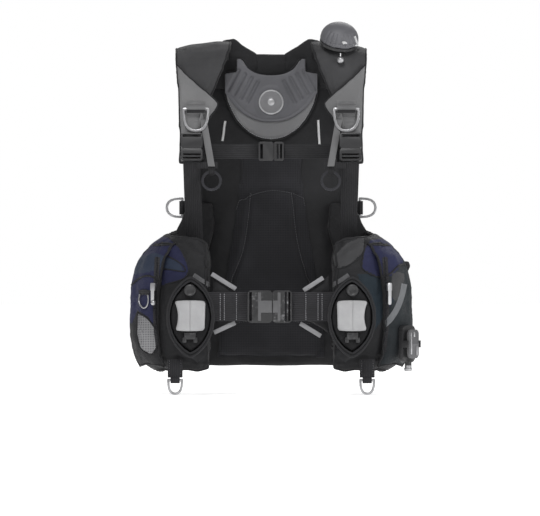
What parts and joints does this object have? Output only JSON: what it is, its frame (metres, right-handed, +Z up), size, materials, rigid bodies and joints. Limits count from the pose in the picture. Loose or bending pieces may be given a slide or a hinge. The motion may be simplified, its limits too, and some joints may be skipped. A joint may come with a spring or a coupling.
{
  "type": "buoyancy compensator vest",
  "caption": "Scuba buoyancy vest with an air cell on a backpack plate, side lobes, padded shoulder straps, weight holsters, pockets, valves, buckles and a tank band.",
  "frame": {"origin": "point on the tank pad's rear face, on the vest's middle plane", "axes": "+Y back to the tank, +Z up, +X to the wearer's left; the vest opens towards -Y"},
  "size_m": [0.5068, 0.4682, 0.6514],
  "materials": {
    "shell_cloth": "coated black nylon cloth",
    "pad_cloth": "grey coated cloth",
    "pocket_cloth": "navy ripstop nylon",
    "mesh_cloth": "spacer mesh",
    "webbing": "woven polyester webbing",
    "buckle_plastic": "moulded acetal",
    "grip_plastic": "moulded grey grip",
    "dome_plastic": "moulded grey shell",
    "badge_plastic": "satin moulded disc",
    "pad_rubber": "ribbed rubber",
    "ring_steel": "stainless steel",
    "dark_metal": "dark coated metal"
  },
  "bodies": {
    "vest": {"backpack_plate": "buckle_plastic", "shoulder_buckle_socket_left": "buckle_plastic", "shoulder_buckle_socket_right": "buckle_plastic", "waist_buckle_socket": "buckle_plastic", "sternum_buckle_socket": "buckle_plastic", "shoulder_valve_body": "buckle_plastic", "rear_valve_body": "buckle_plastic", "inflator_body": "buckle_plastic", "tank_pad": "pad_rubber", "tank_band": "webbing", "carry_handle": "webbing", "side_ring_tab_left": "webbing", "side_ring_tab_right": "webbing", "bottom_ring_tab_left": "webbing", "bottom_ring_tab_right": "webbing", "belt_webbing_right": "webbing", "sternum_webbing_right": "webbing", "cam_buckle_frame": "dark_metal", "air_cell": "shell_cloth", "shoulder_strap_left": "shell_cloth", "shoulder_strap_right": "shell_cloth", "side_lobe_left": "shell_cloth", "side_lobe_right": "shell_cloth", "weight_holster_left": "shell_cloth", "weight_holster_right": "shell_cloth", "belt_wing_left": "shell_cloth", "belt_wing_right": "shell_cloth", "back_pad": "mesh_cloth", "yoke_panel": "pad_cloth", "shoulder_pad_left": "pad_cloth", "shoulder_pad_right": "pad_cloth", "yoke_plate": "dome_plastic", "shoulder_valve_cover": "dome_plastic", "yoke_badge": "badge_plastic", "cargo_pocket_left": "pocket_cloth", "cargo_pocket_right": "pocket_cloth"},
    "chest_ring_left": {"chest_ring_left": "ring_steel"},
    "shoulder_plug_left": {"shoulder_buckle_plug_left": "buckle_plastic", "lower_strap_left": "webbing"},
    "pull_ring_left": {"pull_ring_left": "dark_metal"},
    "side_ring_left": {"side_ring_left": "ring_steel"},
    "bottom_ring_left": {"bottom_ring_left": "ring_steel"},
    "weight_pouch_left": {"weight_pouch_left": "grip_plastic"},
    "zip_slider_left": {"zip_slider_left": "ring_steel"},
    "chest_ring_right": {"chest_ring_right": "ring_steel"},
    "shoulder_plug_right": {"shoulder_buckle_plug_right": "buckle_plastic", "lower_strap_right": "webbing"},
    "pull_ring_right": {"pull_ring_right": "dark_metal"},
    "side_ring_right": {"side_ring_right": "ring_steel"},
    "bottom_ring_right": {"bottom_ring_right": "ring_steel"},
    "weight_pouch_right": {"weight_pouch_right": "grip_plastic"},
    "zip_slider_right": {"zip_slider_right": "ring_steel"},
    "waist_plug": {"waist_buckle_plug": "buckle_plastic", "belt_webbing_left": "webbing"},
    "sternum_plug": {"sternum_buckle_plug": "buckle_plastic", "sternum_webbing_left": "webbing"},
    "valve_knob": {"shoulder_valve_knob": "grip_plastic"},
    "rear_valve_knob": {"rear_valve_knob": "grip_plastic"},
    "inflator_lever": {"inflator_lever": "grip_plastic"},
    "cam_lever": {"cam_buckle_lever": "buckle_plastic"}
  },
  "joints": [
    {"name": "chest_ring_left_swing", "type": "hinge", "parent": "vest", "child": "chest_ring_left", "pos_m": [0.131, -0.17601, 0.16612], "axis": [-1, 0, 0], "range_deg": [0, 100]},
    {"name": "shoulder_plug_left_slide", "type": "slide", "parent": "vest", "child": "shoulder_plug_left", "axis": [0, -0.1392, -0.9903], "range_m": [0, 0.02]},
    {"name": "pull_ring_left_swing", "type": "hinge", "parent": "shoulder_plug_left", "child": "pull_ring_left", "pos_m": [0.1035, -0.19183, 0.05713], "axis": [-1, 0, 0], "range_deg": [-50, 80]},
    {"name": "side_ring_left_swing", "type": "hinge", "parent": "vest", "child": "side_ring_left", "pos_m": [0.157, -0.0346, -0.004], "axis": [0, 0, 1], "range_deg": [-80, 80]},
    {"name": "bottom_ring_left_swing", "type": "hinge", "parent": "vest", "child": "bottom_ring_left", "pos_m": [0.166, -0.2277, -0.304], "axis": [-1, 0, 0], "range_deg": [-60, 80]},
    {"name": "weight_pouch_left_pull", "type": "slide", "parent": "vest", "child": "weight_pouch_left", "axis": [0, -1, 0], "range_m": [0, 0.09]},
    {"name": "zip_left_slide", "type": "slide", "parent": "vest", "child": "zip_slider_left", "axis": [0, 0, 1], "range_m": [-0.03, 0.04]},
    {"name": "chest_ring_right_swing", "type": "hinge", "parent": "vest", "child": "chest_ring_right", "pos_m": [-0.131, -0.17601, 0.16612], "axis": [-1, 0, 0], "range_deg": [0, 100]},
    {"name": "shoulder_plug_right_slide", "type": "slide", "parent": "vest", "child": "shoulder_plug_right", "axis": [0, -0.1392, -0.9903], "range_m": [0, 0.02]},
    {"name": "pull_ring_right_swing", "type": "hinge", "parent": "shoulder_plug_right", "child": "pull_ring_right", "pos_m": [-0.1035, -0.19183, 0.05713], "axis": [-1, 0, 0], "range_deg": [-50, 80]},
    {"name": "side_ring_right_swing", "type": "hinge", "parent": "vest", "child": "side_ring_right", "pos_m": [-0.157, -0.0346, -0.004], "axis": [0, 0, 1], "range_deg": [-80, 80]},
    {"name": "bottom_ring_right_swing", "type": "hinge", "parent": "vest", "child": "bottom_ring_right", "pos_m": [-0.166, -0.2277, -0.304], "axis": [-1, 0, 0], "range_deg": [-60, 80]},
    {"name": "weight_pouch_right_pull", "type": "slide", "parent": "vest", "child": "weight_pouch_right", "axis": [0, -1, 0], "range_m": [0, 0.09]},
    {"name": "zip_right_slide", "type": "slide", "parent": "vest", "child": "zip_slider_right", "axis": [0, 0, 1], "range_m": [-0.03, 0.04]},
    {"name": "waist_plug_slide", "type": "slide", "parent": "vest", "child": "waist_plug", "axis": [1, 0, 0], "range_m": [0, 0.03]},
    {"name": "sternum_plug_slide", "type": "slide", "parent": "vest", "child": "sternum_plug", "axis": [1, 0, 0], "range_m": [0, 0.02]},
    {"name": "shoulder_valve_pull", "type": "slide", "parent": "vest", "child": "valve_knob", "axis": [0, -0.3502, -0.9367], "range_m": [0, 0.015], "stiffness_N_per_m": 150},
    {"name": "rear_valve_pull", "type": "slide", "parent": "vest", "child": "rear_valve_knob", "axis": [0, 0, -1], "range_m": [0, 0.012], "stiffness_N_per_m": 150},
    {"name": "inflator_lever_rock", "type": "hinge", "parent": "vest", "child": "inflator_lever", "pos_m": [0.24464, -0.20571, -0.242], "axis": [0.6259, 0.7799, 0], "range_deg": [-7, 7], "stiffness_Nm_per_rad": 0.15},
    {"name": "cam_lever_open", "type": "hinge", "parent": "vest", "child": "cam_lever", "pos_m": [0, 0.2006, 0.03], "axis": [0, 0, 1], "range_deg": [0, 120]}
  ]
}
